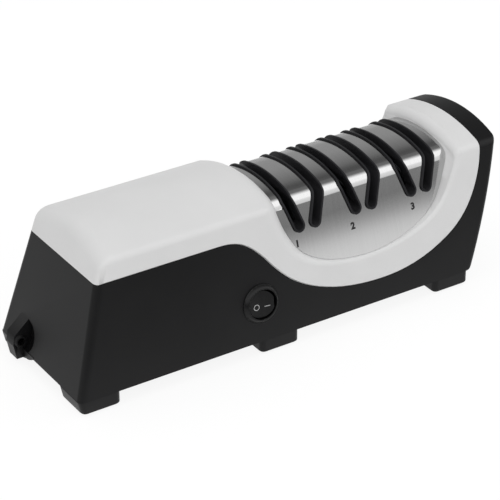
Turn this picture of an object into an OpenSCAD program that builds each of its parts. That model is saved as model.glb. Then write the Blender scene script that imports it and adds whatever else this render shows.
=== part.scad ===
// Three-stage electric knife sharpener: black base, white cover, steel guide panel with six slots.
// X runs along the length, the front faces -Y, Z is up, and the feet stand on Z = 0.

/* [Housing] */
// Overall height
height = 91; // [80:0.5:105]
// Width at the underside
width = 92.4; // [80:0.2:105]
// Distance from the centre to the left end at the underside
left_x = 140.2; // [132:0.2:150]
// Distance from the centre to the right end at the top
right_x = 146.1; // [138:0.1:152]
// Distance from the centre to the right end at the underside
right_low_x = 123.8; // [118:0.2:128]
// How far the right end bows outward at half height
right_bow = 2.7; // [1:0.1:4]
// Lean of the left end wall in degrees
left_lean = 15.4; // [8:0.2:20]
// Draft of the front and back walls in degrees
side_draft = 7.8; // [4:0.2:10]
// Radius of the crowned top
crown_r = 94; // [75:1:120]
// Fillet between the crown and the side walls
shoulder_r = 5.5; // [4:0.1:7]
// Rounding of the upright corners
corner_r = 4; // [3:0.1:6]
// Rounding of the left end into the top
end_r = 7; // [5:0.1:9]
// Rounding of the right end into the top
band_edge_r = 1.2; // [0.6:0.1:2.5]
// Length of the rounding of the right end into the underside
chamfer = 5.2; // [2:0.1:7]
// Wall thickness of both shells
wall = 2.5; // [2:0.1:3]
// Thickness of the base floor
floor_t = 3.6; // [3.2:0.1:4.5]

/* [Parting line] */
// Depth of the level seam below the top, at the left
seam_drop = 19.6; // [16:0.2:24]
// Lowest height of the curved seam
seam_low_z = 21.8; // [19:0.2:26]
// Distance left of centre where the seam leaves the level
seam_start_x = 48.5; // [45:0.5:52]
// Distance right of centre where the seam runs up over the top
seam_end_x = 132.8; // [129:0.2:135]
// Width of the shadow groove along the seam
groove_w = 0.6; // [0.3:0.1:1]
// Depth of the shadow groove along the seam
groove_d = 0.7; // [0.4:0.1:1.2]

/* [Feet] */
// Height of the feet
foot_h = 8.4; // [5:0.2:10]
// Width of a foot across the housing
foot_w = 24.6; // [18:0.2:26]
// Length of a foot along the housing
foot_l = 25.4; // [20:0.2:28]
// How far the left feet draw in at the end, down to the ground
foot_taper = 1.4; // [0.6:0.1:2.4]
// Left edge of the middle feet, left of centre
foot_mid_x = 24.8; // [20:0.2:30]
// Left edge of the right feet, right of centre
foot_right_x = 95.6; // [90:0.2:98]
// Rounding of the feet
foot_r = 3.2; // [1:0.1:4]
// Radius of a rubber pad
pad_r = 7; // [5:0.5:8]
// Thickness of a rubber pad
pad_t = 2; // [1.5:0.1:3]
// How far a pad stands below its foot
pad_proud = 0.3; // [0.2:0.1:1]

/* [Guide panel] */
// Depth of the panel's crest below the top of the housing
panel_drop = 5.5; // [4:0.1:8]
// Radius of the panel's crest
panel_top_r = 74; // [52:1:90]
// Radius of the bend between crest and front
panel_bend_r = 9.5; // [8.8:0.1:12]
// Radius of the flare of the panel's foot
panel_flare_r = 271; // [220:1:330]
// Lean of the panel's front in degrees
panel_lean = 17; // [14:0.2:20]
// Depth of the panel below the side of the housing, where the flare starts
panel_deep = 7.7; // [6:0.1:10]
// Depth below the crest where the flare starts
flare_drop = 19.2; // [17:0.2:22]
// Distance left of centre of the panel's left edge
panel_left_x = 4.3; // [2:0.1:7]
// Distance right of centre of the panel's right edge
panel_right_x = 114.8; // [112:0.2:117]
// Lowest height of the panel
panel_low_z = 39.2; // [36:0.2:42]
// Depth below the crest where the panel's side edges run straight
side_drop = 6.8; // [6:0.1:9]
// Thickness of the steel sheet
sheet = 0.8; // [0.6:0.1:1]
// Gap round the edge of the sheet
sheet_gap = 0.25; // [0.15:0.05:0.5]
// Thickness of the cover behind the sheet
lining = 2.2; // [1.8:0.1:3]
// Largest radius of the cover's rounding into the recess
rim_r = 13; // [10:0.5:15]

/* [Slots] */
// Distance from the centre to the middle of the first stage
stage_x = 15; // [14:0.2:17]
// Distance between stages
stage_pitch = 38.6; // [37:0.2:40]
// Half of the distance between a stage's slots on the crest
slot_half_pitch = 10.55; // [9.8:0.05:11]
// Depth below the crest where a slot starts to lean
kink_drop = 5.1; // [4:0.1:7]
// Depth of the lower end of a slot below the crest
slot_drop = 24.1; // [22:0.1:26]
// Lean of a slot in degrees
slot_lean = 18.5; // [16:0.5:20]
// Outer width of a slot guide
guide_w = 7.5; // [7:0.1:8]
// Width of the lip of a slot guide
guide_lip = 1.05; // [0.8:0.05:1.3]
// How far the lip stands above the steel
guide_proud = 1; // [0.6:0.1:1.4]
// Depth of a slot guide below the steel's surface
guide_depth = 8; // [6:0.2:9]
// Width of the flange that holds a guide from inside
guide_flange = 1.1; // [0.8:0.1:1.4]
// Thickness of that flange
flange_t = 1.2; // [1:0.1:1.6]
// Gap between a guide and its cut-out
guide_gap = 0.15; // [0.1:0.05:0.3]

/* [Switch] */
// Distance left of centre of the switch
switch_x = 23.4; // [20:0.2:27]
// Height of the middle of the switch
switch_z = 31.3; // [27:0.1:34]
// Outer diameter of the bezel
bezel_d = 23; // [21:0.5:25]
// How far the bezel stands out
bezel_h = 2.7; // [1.8:0.1:3.4]
// Outer diameter of the switch barrel
barrel_d = 20; // [19.6:0.1:20.6]
// Depth of the switch barrel behind the wall
barrel_depth = 13; // [12:0.5:15]
// Diameter of the rocker opening
rocker_hole_d = 17.4; // [17:0.1:18.6]
// Diameter of the rocker
rocker_d = 16; // [15.6:0.1:17.1]
// Tilt from off to on in degrees
rocker_tilt = 14; // [10:1:15]

/* [Cord outlet] */
// Distance of the hood's near side behind the centre
hood_y = 19.4; // [18:0.2:24]
// Width of the hood
hood_w = 8.5; // [7:0.1:11]
// Height where the hood leaves the end wall
hood_z = 26.7; // [22:0.1:29]
// Height of the hood's outer lip
hood_lip_z = 18.4; // [15:0.2:20]
// Distance from the centre to the hood's outer face
hood_x = 145.7; // [143.4:0.1:148]
// Radius of the scoop beside the hood, on the end wall
scoop_r = 9.8; // [6:0.2:11]
// Depth of that scoop
scoop_deep = 4; // [2:0.2:5]
// Outer diameter of the outlet bush
bush_d = 7.4; // [6:0.1:8]
// Bore of the outlet bush
bush_bore = 4.6; // [3.6:0.1:5]

/* [Drive] */
// Height of the motor and spindle axis above the inner floor, as a share of the inner height
axis_share = 0.395; // [0.36:0.005:0.42]
// Room between the motor can and the inner floor
motor_lift = 5.2; // [4:0.1:8]
// Least room between the motor can and the side wall
motor_side = 10.6; // [9:0.1:14]
// Length of the motor can
motor_l = 58; // [50:1:62]
// Distance left of centre of the can's right end
motor_x = 48; // [46:0.5:54]
// Thickness of the motor can
can_t = 1.7; // [1.2:0.1:2.2]
// Air gap between armature and magnets
air_gap = 1.3; // [0.8:0.1:3]
// Radius of the motor shaft
shaft_r = 2.5; // [2:0.1:3]
// Radius of the spindle
spindle_r = 4; // [3.5:0.1:4.5]
// Running clearance of shafts in their bores
run_gap = 0.06; // [0.03:0.01:0.09]
// Radius of a sharpening disc as a share of the inner height
disc_share = 0.303; // [0.27:0.001:0.315]
// Distance from the middle of a stage to the outer face of a disc
disc_face = 5.2; // [4.6:0.1:5.6]
// Thickness of a disc
disc_t = 2.2; // [1.8:0.1:2.4]
// Radius of a disc's hub
hub_r = 8; // [7:0.2:9]
// Inward travel of a disc, which the groove in its hub allows
disc_travel = 1.2; // [0.8:0.1:1.8]
// Radius of a drive pin
pin_r = 1.25; // [1:0.05:1.5]

/* [Hidden] */
$fn = 64;
BLACK = "#2b2b2c";
GLOSS = "#151516";
WHITE = "#dcdcdc";
STEEL = "#b8b8b8";

// Overrun of a through cut
over = 1;
// Reach of a cutter beyond the housing
reach = 20;
// Heights that follow the top of the housing
seam_z = height - seam_drop;
panel_z = height - panel_drop;
panel_flare_z = panel_z - flare_drop;
panel_side_z = panel_z - side_drop;
slot_kink_z = panel_z - kink_drop;
slot_low_z = panel_z - slot_drop;
// Inner room, and the drive that fills it
inner_floor_z = foot_h + floor_t;
inner_h = height - inner_floor_z;
axis_z = inner_floor_z + inner_h * axis_share;
magnet_t = 4;
disc_r = inner_h * disc_share;
hub_slack = 0.1;
hub_l = pin_r * 2 + disc_travel + hub_slack;
// Steps along arcs
crown_steps = 14;
fillet_steps = 5;
wall_steps = 9;
end_steps = 6;
bend_steps = 7;
flare_steps = 6;
rim_steps = 6;
spline_steps = 3;
tip_steps = 12;

// The curved seam as shares of its length and its depth
seam_share = [
  [0, 1], [0.022, 0.999], [0.043, 0.992], [0.064, 0.976], [0.084, 0.95], [0.104, 0.909],
  [0.125, 0.851], [0.145, 0.78], [0.165, 0.7], [0.184, 0.615], [0.205, 0.528], [0.245, 0.383],
  [0.288, 0.272], [0.331, 0.188], [0.383, 0.115], [0.441, 0.056], [0.51, 0.016], [0.58, 0],
  [0.651, 0.008], [0.723, 0.052], [0.79, 0.131], [0.854, 0.246], [0.895, 0.353], [0.927, 0.472],
  [0.951, 0.599], [0.969, 0.73], [0.983, 0.867], [0.993, 1.008], [0.998, 1.149], [1, 1.282]
];
// The panel's outline as shares of its length and its curved height
panel_share = [
  [0, 1], [0.006, 0.904], [0.017, 0.79], [0.032, 0.663], [0.053, 0.527], [0.081, 0.385],
  [0.12, 0.263], [0.175, 0.162], [0.246, 0.081], [0.33, 0.028], [0.418, 0], [0.506, 0],
  [0.59, 0.025], [0.674, 0.076], [0.758, 0.157], [0.83, 0.258], [0.886, 0.385], [0.929, 0.544],
  [0.961, 0.719], [0.987, 0.881], [1, 1]
];
// The rim's radius along the outline as shares of its largest radius
rim_share = [[0, 1], [0.18, 0.8], [0.34, 0.42], [0.5, 0.31], [0.7, 0.33], [0.85, 0.36], [1, 0.45]];

// Curves
function at(v, i) = v[max(0, min(len(v) - 1, i))];
function spline_point(a, b, c, d, t) =
  (b * 2 + (c - a) * t + (a * 2 - b * 5 + c * 4 - d) * t * t + (b * 3 - a - c * 3 + d) * t * t * t) / 2;
function spline(v, n) = [
  for (i = [0 : len(v) - 2], k = [0 : n - 1])
    spline_point(at(v, i - 1), v[i], v[i + 1], at(v, i + 2), k / n),
  v[len(v) - 1]
];
function unit2(p) = p / norm(p);
function side_of(v, i) = let (d = unit2(at(v, i + 1) - at(v, i - 1))) [d[1], -d[0]];
function shifted(v, g) = [for (i = [0 : len(v) - 1]) v[i] + side_of(v, i) * g];
function rev(v) = [for (i = [len(v) - 1 : -1 : 0]) v[i]];
function mirrored(v) = [for (p = v) [-p[0], p[1]]];

// Outer form of the housing
half_w = width / 2;
crown_z = height - crown_r;
function left_at(z) = -left_x + (z - foot_h) * tan(left_lean);
function rise(z) = (z - foot_h) / (height - foot_h);
function right_at(z) = right_low_x + (right_x - right_low_x) * rise(z) + right_bow * rise(z) * (1 - rise(z)) * 4;
function wall_y(z) = half_w - (z - foot_h) * tan(side_draft);
function inner_y(z) = wall_y(z) - wall / cos(side_draft);
motor_r = min(axis_z - inner_floor_z - motor_lift, inner_y(axis_z) - motor_side);
armature_r = motor_r - can_t - magnet_t - air_gap;
panel_half_w = wall_y(panel_flare_z) - panel_deep;
// How far a rounding of radius r lies inside the face at distance t from the end
function eased(r, t) = t >= r ? 0 : r - sqrt(r * r - (r - t) * (r - t));
// Half of the cross-section, drawn in by dw at the wall and dc at the crown
function half_section(dw, dc) =
  let (r = crown_r - dc,
       f = max(shoulder_r - (dw + dc) / 2, shoulder_r / 5),
       near = half_w * cos(side_draft) - dw - (crown_z - foot_h) * sin(side_draft),
       phi = asin((near - f) / (r - f)) - side_draft,
       cy = (r - f) * sin(phi),
       cz = crown_z + (r - f) * cos(phi),
       y0 = half_w - dw / cos(side_draft),
       y1 = cy + f * cos(side_draft),
       z1 = cz + f * sin(side_draft))
  concat(
    [for (i = [0 : wall_steps - 1]) [y0 + (y1 - y0) * i / wall_steps,
      foot_h + (z1 - foot_h) * i / wall_steps]],
    [for (i = [0 : fillet_steps - 1])
      let (a = side_draft + (90 - phi - side_draft) * i / fillet_steps) [cy + f * cos(a), cz + f * sin(a)]],
    [for (i = [0 : crown_steps / 2])
      let (a = phi * (1 - i * 2 / crown_steps)) [r * sin(a), crown_z + r * cos(a)]]
  );
function section(dw, dc) = let (h = half_section(dw, dc))
  concat(h, [for (i = [len(h) - 2 : -1 : 0]) [-h[i][0], h[i][1]]]);

// A solid through rings of equal length, each symmetric in Y; its ends are closed by level strips
module loft(rings) {
  m = len(rings[0]);
  n = len(rings);
  points = [for (r = rings, p = r) p];
  sides = [for (k = [0 : n - 2], i = [0 : m - 1])
    let (a = k * m + i, b = k * m + (i + 1) % m) each [[a, a + m, b + m], [a, b + m, b]]];
  half = floor(m / 2);
  function strip(base, i) = [base + i, base + i + 1, base + m - 2 - i, base + m - 1 - i];
  first = [for (i = [0 : half - 1]) let (s = strip(0, i)) each
    (s[1] == s[2] ? [[s[0], s[1], s[3]]] : [[s[0], s[1], s[2]], [s[0], s[2], s[3]]])];
  last = [for (i = [0 : half - 1]) let (s = strip((n - 1) * m, i)) each
    (s[1] == s[2] ? [[s[3], s[1], s[0]]] : [[s[2], s[1], s[0]], [s[3], s[2], s[0]]])];
  polyhedron(points = points, faces = concat(sides, first, last), convexity = 4);
}

function left_ring(t) =
  [for (p = section(eased(corner_r, t), eased(end_r, t))) [left_at(p[1]) + t, p[0], p[1]]];
function right_ring(t) =
  [for (p = section(eased(corner_r, t), eased(band_edge_r, t))) [right_at(p[1]) - t, p[0], p[1]]];
module housing_form() {
  loft(concat(
    [for (k = [0 : end_steps]) left_ring(end_r * (1 - cos(90 * k / end_steps)))],
    [for (k = [end_steps : -1 : 0]) right_ring(corner_r * (1 - cos(90 * k / end_steps)))]
  ));
}
// What the rounding takes off between the right end and the underside
chamfer_rise = 1.3;
module chamfer_cut() {
  a = [right_low_x - chamfer, foot_h];
  b = [right_at(foot_h + chamfer * chamfer_rise), foot_h + chamfer * chamfer_rise];
  c = [right_low_x, foot_h];
  along_y(width + reach) polygon(concat(
    [[a[0], foot_h - over]],
    [for (i = [0 : end_steps]) let (t = i / end_steps)
      a * (1 - t) * (1 - t) + c * t * (1 - t) * 2 + b * t * t],
    [[right_x, b[1]], [right_x, foot_h - over]]));
}

// 2D drawings in YZ are extruded along X, and drawings in XZ along Y
module along_x(l) rotate([90, 0, 90]) linear_extrude(height = l, center = true) children();
module along_y(l) rotate([90, 0, 0]) linear_extrude(height = l, center = true) children();
// Round things that lie along X, starting at x
module rod(x, l, r, z = axis_z, y = 0) translate([x, y, z]) rotate([0, 90, 0]) cylinder(h = l, r = r);
module block(x, y, z, lx, ly, lz) translate([x, y, z]) cube([lx, ly, lz]);
long = left_x + right_x + reach;

// Cavity inside both shells
end_wall_share = 1.04;
module cavity() {
  top = height + over;
  intersection() {
    along_x(long) polygon(section(wall, wall));
    along_y(width) polygon(concat(
      [[left_at(inner_floor_z) + wall / cos(left_lean), inner_floor_z],
        [left_at(top) + wall / cos(left_lean), top]],
      [for (i = [wall_steps : -1 : 0]) let (z = inner_floor_z + (top - inner_floor_z) * i / wall_steps)
        [right_at(z) - wall * end_wall_share, z]]));
  }
}

// Parting line
seam_len = seam_end_x + seam_start_x;
seam_deep = seam_z - seam_low_z;
seam_pts = spline([for (s = seam_share) [s[0] * seam_len - seam_start_x,
  seam_low_z + s[1] * seam_deep]], 2);
// The region above the seam, moved away from it by g
module above_seam(g = 0) {
  v = shifted(seam_pts, g);
  top = height + reach;
  along_y(width + reach) polygon(concat([[-left_x - reach, top], [-left_x - reach, seam_z - g]],
    v, [[v[len(v) - 1][0], top]]));
}

// Cross-section and outline of the steel panel
crest_c = [0, panel_z - panel_top_r];
lean_n = [cos(panel_lean), sin(panel_lean)];
flare_c = [panel_half_w, panel_flare_z] + lean_n * panel_flare_r;
plane_c = lean_n * [panel_half_w, panel_flare_z];
bend_phi = asin((plane_c - panel_bend_r - lean_n * crest_c) / (panel_top_r - panel_bend_r)) - panel_lean;
bend_c = crest_c + [sin(bend_phi), cos(bend_phi)] * (panel_top_r - panel_bend_r);
flare_turn = 8.5;
function dir2(a) = [cos(a), sin(a)];
// Half of the panel's cross-section, drawn in by d
function half_panel(d) = concat(
  [for (i = [0 : flare_steps]) flare_c - dir2(panel_lean + flare_turn * (1 - i / flare_steps)) * (panel_flare_r + d)],
  [for (i = [0 : bend_steps]) bend_c + dir2(panel_lean + (90 - bend_phi - panel_lean) * i / bend_steps) * (panel_bend_r - d)],
  [for (i = [1 : crown_steps / 2])
    crest_c + dir2(90 - bend_phi + bend_phi * i * 2 / crown_steps) * (panel_top_r - d)]
);
module panel_body(d) {
  h = half_panel(d);
  along_x(long) polygon(concat([[h[0][0], 0]], h, [for (i = [len(h) - 2 : -1 : 0]) [-h[i][0], h[i][1]]],
    [[-h[0][0], 0]]));
}
panel_len = panel_left_x + panel_right_x;
outline_pts = spline([for (s = panel_share)
  [s[0] * panel_len - panel_left_x, panel_low_z + s[1] * (panel_side_z - panel_low_z)]], spline_steps);
// The panel's outline, drawn out by g
module panel_outline(g) {
  v = shifted(outline_pts, g);
  top = height + reach;
  along_y(width + reach) polygon(concat([[v[0][0], top]], v, [[v[len(v) - 1][0], top]]));
}
function rim_at(u) = rim_r * lookup(u, rim_share);
function rim_u(i) = i / (len(outline_pts) - 1);
// The thickened zone behind the rim
module rim_zone() {
  v = [for (i = [0 : len(outline_pts) - 1])
    outline_pts[i] + side_of(outline_pts, i) * (rim_at(rim_u(i)) + wall)];
  top = height + reach;
  along_y(width + reach) polygon(concat([[v[0][0], top]], v, [[v[len(v) - 1][0], top]]));
}
// Angle of the panel's surface normal at height z, on the flare, the plane and the bend
function normal_at(z) =
  z < panel_flare_z ? asin((flare_c[1] - z) / panel_flare_r)
  : z < bend_c[1] + panel_bend_r * sin(panel_lean) ? panel_lean
  : asin(min(1, (z - bend_c[1]) / panel_bend_r));
function surface_y(z) =
  z < panel_flare_z ? flare_c[0] - panel_flare_r * cos(normal_at(z))
  : z < bend_c[1] + panel_bend_r * sin(panel_lean) ? (plane_c - z * sin(panel_lean)) / cos(panel_lean)
  : bend_c[0] + panel_bend_r * cos(normal_at(z));
// Distance from a point of the section along n to the outside of the housing
function to_outside(p, n) =
  let (w = [cos(side_draft), sin(side_draft)],
       tw = (w * [half_w, foot_h] - w * p) / (n * w),
       q = p - [0, crown_z],
       b = q * n,
       tc = -b + sqrt(max(0, b * b - q * q + crown_r * crown_r)))
  min(tw, tc);
// Stations along the front half of the panel's edge: point, angle of the normal, rim radius
side_from = normal_at(panel_side_z);
crest_stations = 8;
// How far the cutter of the rounding starts below the panel, and how far it passes the faces it meets
rim_sink = 0.3;
rim_skin = 0.02;
rim_reach = 6;
function crest_point(a) = a < 90 - bend_phi ? bend_c + dir2(a) * panel_bend_r :
  crest_c + dir2(a) * panel_top_r;
function crest_angle(k) = 90 + (side_from - 90) * k / crest_stations;
function crest_station(a, x, r) = let (c = crest_point(a)) [[x, -c[0], c[1]], a, r];
edge_left = outline_pts[0][0];
edge_right = outline_pts[len(outline_pts) - 1][0];
front_stations = concat(
  [for (k = [0 : crest_stations - 1]) crest_station(crest_angle(k), edge_left, rim_at(0))],
  [for (i = [0 : len(outline_pts) - 1]) let (p = outline_pts[i])
    [[p[0], -surface_y(p[1]), p[1]], normal_at(p[1]), rim_at(rim_u(i))]],
  [for (k = [crest_stations - 1 : -1 : 0]) crest_station(crest_angle(k), edge_right, rim_at(1))]
);
all_stations = concat(front_stations, [for (i = [len(front_stations) - 2 : -1 : 1])
  let (s = front_stations[i]) [[s[0][0], -s[0][1], s[0][2]], 180 - s[1], s[2]]]);
function station_n(s) = [0, -cos(s[1]), sin(s[1])];
function rim_section(i) =
  let (n = len(all_stations),
       s = all_stations[i],
       p = s[0],
       nn = station_n(s),
       t = all_stations[(i + 1) % n][0] - all_stations[(i + n - 1) % n][0],
       o = let (c = cross(t, nn)) c / norm(c),
       fy = p[1] > 0 ? 1 : -1,
       h = to_outside([abs(p[1]), p[2]], [nn[1] * fy, nn[2]]),
       r = s[2],
       w = h < r ? sqrt(r * r - (r - h) * (r - h)) : r,
       q = p + o * w,
       hq = to_outside([q[1] * fy, q[2]], [nn[1] * fy, nn[2]]),
       a0 = h < r ? asin((r - h) / r) : 0,
       low = -rim_sink)
  concat(
    [p - o * over + nn * low, p + nn * low],
    [for (k = [0 : rim_steps]) let (a = a0 + (90 - a0) * k / rim_steps, u = w - r * cos(a),
      v = h - r + r * sin(a))
      p + o * (u + rim_skin) + nn * (v + rim_skin + (hq - h) * u / w)],
    [p + o * (w + rim_skin) + nn * (hq + rim_reach), p - o * over + nn * (h + rim_reach)]
  );
module rim_cut() {
  n = len(all_stations);
  rings = [for (i = [0 : n - 1]) rim_section(i)];
  m = len(rings[0]);
  polyhedron(points = [for (r = rings, p = r) p],
    faces = [for (k = [0 : n - 1], i = [0 : m - 1])
      let (a = k * m + i, b = k * m + (i + 1) % m, c = ((k + 1) % n) * m + i,
        d = ((k + 1) % n) * m + (i + 1) % m)
      each [[a, d, c], [a, b, d]]], convexity = 10);
}

// Slots and their guides
tip_r = guide_w / 2;
lean_run = (slot_kink_z - slot_low_z - tip_r) / cos(slot_lean);
function stage_mid(i) = stage_x + stage_pitch * i;
// Outline of the slot in XZ with half width w, on side s of its stage
module slot_shape(i, s, w, low = 0) {
  xk = stage_mid(i) + s * slot_half_pitch;
  k = [xk, slot_kink_z];
  d = [-s * sin(slot_lean), -cos(slot_lean)];
  m = [cos(slot_lean), -s * sin(slot_lean)];
  tip = k + d * (lean_run + low);
  top = height + reach;
  polygon(concat(
    [[xk + w, top], [xk + w, slot_kink_z - s * w * tan(slot_lean / 2)]],
    [for (j = [0 : tip_steps]) let (b = 180 * j / tip_steps) tip + (m * cos(b) + d * sin(b)) * w],
    [[xk - w, slot_kink_z + s * w * tan(slot_lean / 2)], [xk - w, top]]
  ));
}
module slot_body(i, s, w) along_y(width) slot_shape(i, s, w);
module all_slots(w) {
  for (i = [0 : 2], s = [-1, 1]) slot_body(i, s, w);
}
// The band of the panel's section between two depths
module panel_band(d0, d1) {
  a = half_panel(d0);
  b = half_panel(d1);
  outer = concat(a, [for (i = [len(a) - 2 : -1 : 0]) [-a[i][0], a[i][1]]]);
  inner = concat(b, [for (i = [len(b) - 2 : -1 : 0]) [-b[i][0], b[i][1]]]);
  along_x(long) polygon(concat(outer, rev(inner)));
}
module slot_guide(i, s) {
  color(GLOSS) {
    intersection() {
      panel_band(-guide_proud, guide_depth);
      along_y(width) difference() {
        slot_shape(i, s, tip_r);
        slot_shape(i, s, tip_r - guide_lip);
      }
    }
    intersection() {
      panel_band(sheet + lining, sheet + lining + flange_t);
      along_y(width) difference() {
        slot_shape(i, s, tip_r + guide_flange);
        slot_shape(i, s, tip_r - guide_lip / 2);
      }
    }
  }
}

// Posts for the screws that hold the cover
post_r = 4.5;
post_bore = 1.75;
post_head_r = 3.2;
post_deep = 5;
post_room = 0.4;
left_post_x = 111;
right_post_x = 116;
right_post_in = 20;
post_drop = 6;
right_post_rise = 27.6;
// Place along the housing, place from the centre, and height of each pair of posts
posts = [
  [[-left_post_x, inner_y(seam_z) - post_r - post_room], seam_z - post_drop],
  [[right_post_x, half_w - right_post_in], seam_low_z + right_post_rise]
];
module at_posts() {
  for (p = posts, s = [-1, 1]) translate([p[0][0], p[0][1] * s, 0]) {
    $top = p[1];
    children();
  }
}
boss_pilot = 1.45;
boss_deep = 12;

// Things set on the front wall
module on_front(x, z) translate([x, -wall_y(z), z]) rotate([90 - side_draft, 0, 0]) children();

// Base with its feet
right_foot_cut = 0.6;
// Left edge, length and taper of each pair of feet
feet = [[-left_x, foot_l, foot_taper], [-foot_mid_x, foot_l, 0],
  [foot_right_x, foot_l - right_foot_cut, 0]];
function rounded(x0, y0, x1, y1, r) = concat(
  [for (a = [180 : 22.5 : 270]) [x0 + r + r * cos(a), y0 + r + r * sin(a)]],
  [for (a = [270 : 22.5 : 360]) [x1 - r + r * cos(a), y0 + r + r * sin(a)]],
  [for (a = [0 : 22.5 : 90]) [x1 - r + r * cos(a), y1 - r + r * sin(a)]],
  [for (a = [90 : 22.5 : 180]) [x0 + r + r * cos(a), y1 - r + r * sin(a)]]
);
foot_edge = 0.9;
module foot_slice(z, x0, x1, d) {
  translate([0, 0, z]) linear_extrude(height = pad_proud)
    polygon(rounded(x0 + d, half_w - foot_w + d, x1 - d, half_w - d, foot_r - d));
}
module foot(x, l, taper, s) {
  mirror([0, s < 0 ? 1 : 0, 0]) hull() {
    foot_slice(foot_h, x + foot_edge / 2, x + l, foot_edge / 4);
    foot_slice(foot_h - pad_proud * 2, x, x + l, 0);
    foot_slice(pad_proud + foot_edge, x + taper, x + l, 0);
    foot_slice(pad_proud, x + taper, x + l, foot_edge);
  }
}
module at_pads() {
  for (f = feet, s = [-1, 1]) translate([f[0] + f[1] / 2, s * (half_w - foot_w / 2), 0]) children();
}
plate_left_x = 100;
plate_x0 = -plate_left_x;
plate_x1 = 92;
plate_clear = 2.6;
plate_hw = half_w - foot_w - plate_clear;
plate_t = 2;
plate_gap = 0.15;
plate_ledge = 2.7;
plate_end = 12;
plate_screw_x = 6;
plate_screw_in = 7;
plate_screw_y = plate_hw - plate_screw_in;
module base_form() {
  difference() {
    housing_form();
    above_seam();
    chamfer_cut();
  }
  for (f = feet, s = [-1, 1]) foot(f[0], f[1], f[2], s);
}
hood_low_z = 3.4;
hood_knee_z = 12.4;
hood_knee = 1.1;
hood_foot = 1.8;
hood_root = 5;
// Cover over the cord outlet, with its outer face bent at the knee
module hood() {
  back = left_at(foot_h) + hood_root;
  translate([0, hood_y + hood_w / 2, 0]) along_y(hood_w) polygon([
    [-hood_x + hood_foot, hood_low_z], [-hood_x, hood_knee_z], [-hood_x + hood_knee, hood_lip_z],
    [left_at(hood_z), hood_z], [left_at(hood_z) + wall / 2, hood_z], [back, inner_floor_z],
      [back, hood_low_z]]);
}
// Lip under the end wall, beside the hood, from place in Y to depth below the wall
lip_l = 12.7;
lip_t = 2.4;
lip_share = [[0, 1], [0.32, 0.72], [0.5, 0.66], [0.78, 0.34], [1, 0]];
module outlet_lip() {
  deep = foot_h - hood_low_z;
  translate([left_at(foot_h) + lip_t / 2, 0, 0]) rotate([90, 0, 90])
    linear_extrude(height = lip_t, center = true)
    polygon(concat([for (p = lip_share) [hood_y - p[0] * lip_l, foot_h - p[1] * deep]],
      [[hood_y - lip_l, foot_h + over], [hood_y + over, foot_h + over], [hood_y + over, hood_low_z]]));
}
// Hollow in the end wall beside the hood
scoop_ball = (scoop_r * scoop_r + scoop_deep * scoop_deep) / (scoop_deep * 2);
scoop_z = 16.9;
module scoop(g = 0) {
  out = scoop_ball - scoop_deep;
  translate([left_at(scoop_z) - out * cos(left_lean), hood_y, scoop_z + out * sin(left_lean)])
    sphere(r = scoop_ball + g, $fn = 48);
}
bush_x = 141.2;
bush_z = 14.4;
bush_l = 6;
bush_flange = 1.4;
// Seat of the outlet bush, and the way for the cord into the housing
module cord_way() {
  translate([-bush_x, hood_y - over, bush_z]) rotate([-90, 0, 0])
    cylinder(h = bush_l + over, r = bush_d / 2 + run_gap);
  rod(-bush_x, hood_root * 3, bush_bore / 2, bush_z, hood_y + bush_l / 2);
}
module base_shell() {
  color(BLACK) difference() {
    union() {
      difference() {
        base_form();
        cavity();
      }
      // Columns for the cover screws, and the wall behind the scoop
      intersection() {
        union() {
          at_posts() translate([0, 0, inner_floor_z - over])
            cylinder(h = $top - inner_floor_z + over, r = post_r, $fn = 32);
          scoop(wall);
        }
        housing_form();
      }
    }
    // Scoop on the near side of the hood
    difference() {
      scoop();
      block(-left_x - reach, hood_y, 0, reach * 2, reach, height);
    }
    cord_way();
    at_posts() translate([0, 0, -over]) cylinder(h = $top + over * 2, r = post_bore, $fn = 32);
    at_posts() translate([0, 0, -over]) cylinder(h = foot_h + post_deep + over, r = post_head_r, $fn = 32);
    // Opening in the floor, with a rebate for the bottom plate
    block(plate_x0 + plate_end, -plate_hw + plate_ledge, foot_h - over,
      plate_x1 - plate_x0 - plate_end * 2, (plate_hw - plate_ledge) * 2, floor_t + over * 2);
    block(plate_x0 - plate_gap, -plate_hw - plate_gap, foot_h - over,
      plate_x1 - plate_x0 + plate_gap * 2, (plate_hw + plate_gap) * 2, plate_t + over);
    for (x = [plate_x0 + plate_screw_x, plate_x1 - plate_screw_x], y = [-plate_screw_y, plate_screw_y])
      translate([x, y, foot_h - over]) cylinder(h = floor_t + over * 2, r = boss_pilot, $fn = 24);
    // Recesses for the rubber pads
    at_pads() translate([0, 0, -over]) cylinder(h = pad_t + over, r = pad_r + plate_gap, $fn = 40);
    // Hole for the switch barrel
    on_front(-switch_x, switch_z) translate([0, 0, -barrel_depth / 2])
      cylinder(h = barrel_depth, r = barrel_d / 2 + plate_gap);
  }
  color(BLACK) difference() {
    union() {
      hood();
      outlet_lip();
    }
    cord_way();
  }
}

// Cover
module top_cover() {
  color(WHITE) difference() {
    union() {
      difference() {
        intersection() {
          housing_form();
          above_seam();
        }
        difference() {
          cavity();
          difference() {
            rim_zone();
            panel_body(sheet + lining);
          }
        }
      }
      // Bosses for the screws from the base
      intersection() {
        at_posts() translate([0, 0, $top]) cylinder(h = height, r = post_r, $fn = 32);
        housing_form();
        difference() {
          along_x(long) polygon(section(wall / 2, wall / 2));
          difference() {
            rim_zone();
            panel_body(sheet + lining / 2);
          }
        }
      }
    }
    at_posts() translate([0, 0, $top - over]) cylinder(h = boss_deep + over, r = boss_pilot, $fn = 32);
    // Recess for the steel
    difference() {
      panel_outline(sheet_gap);
      panel_body(sheet);
    }
    rim_cut();
    // Cut-outs for the slot guides
    intersection() {
      all_slots(tip_r + guide_gap);
      panel_body(-over);
    }
    // Shadow groove along the seam
    difference() {
      difference() {
        above_seam(groove_d);
        above_seam(-groove_w);
      }
      along_x(long) polygon(section(groove_d, groove_d));
    }
  }
}

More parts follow.
